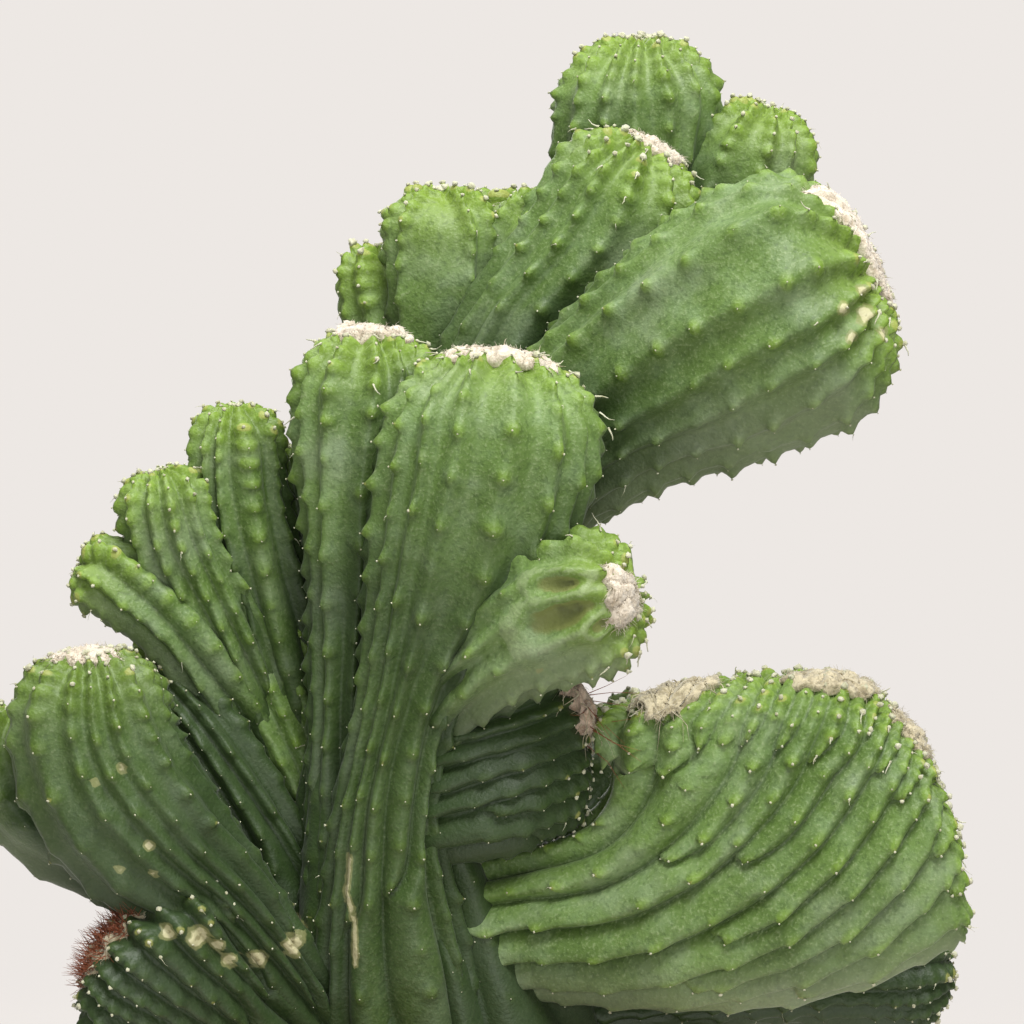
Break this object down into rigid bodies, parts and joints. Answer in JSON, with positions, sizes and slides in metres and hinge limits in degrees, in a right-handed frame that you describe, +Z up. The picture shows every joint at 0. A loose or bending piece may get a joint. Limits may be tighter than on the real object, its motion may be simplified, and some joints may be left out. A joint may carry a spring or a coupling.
{
  "type": "potted monstrose cereus cactus",
  "caption": "Crested and monstrose columnar cactus of ribbed, warty fingers and folded crests with woolly tips, rooted in soil in a plain tapered clay pot.",
  "frame": {"origin": "middle of the pot's underside, on the surface that it stands on", "axes": "+Z up the plant; -Y is the side that the picture shows, and +X is to its right"},
  "size_m": [0.2402, 0.1574, 0.3657],
  "materials": {
    "clay": "matte",
    "soil": "matte",
    "flesh": "satin",
    "wool": "matte",
    "rust_wool": "matte"
  },
  "bodies": {
    "root": {"pot": "clay", "soil": "soil", "cactus": "flesh", "wool_front_finger": "wool", "wool_second_finger": "wool", "wool_thumb": "wool", "wool_big_right": "wool", "wool_upper_mid": "wool", "wool_left_finger": "wool", "wool_crest_left": "wool", "wool_crest_middle": "wool", "wool_crest_right": "wool", "rust_wool_basal": "rust_wool", "rust_wool_fold": "rust_wool"}
  },
  "joints": []
}
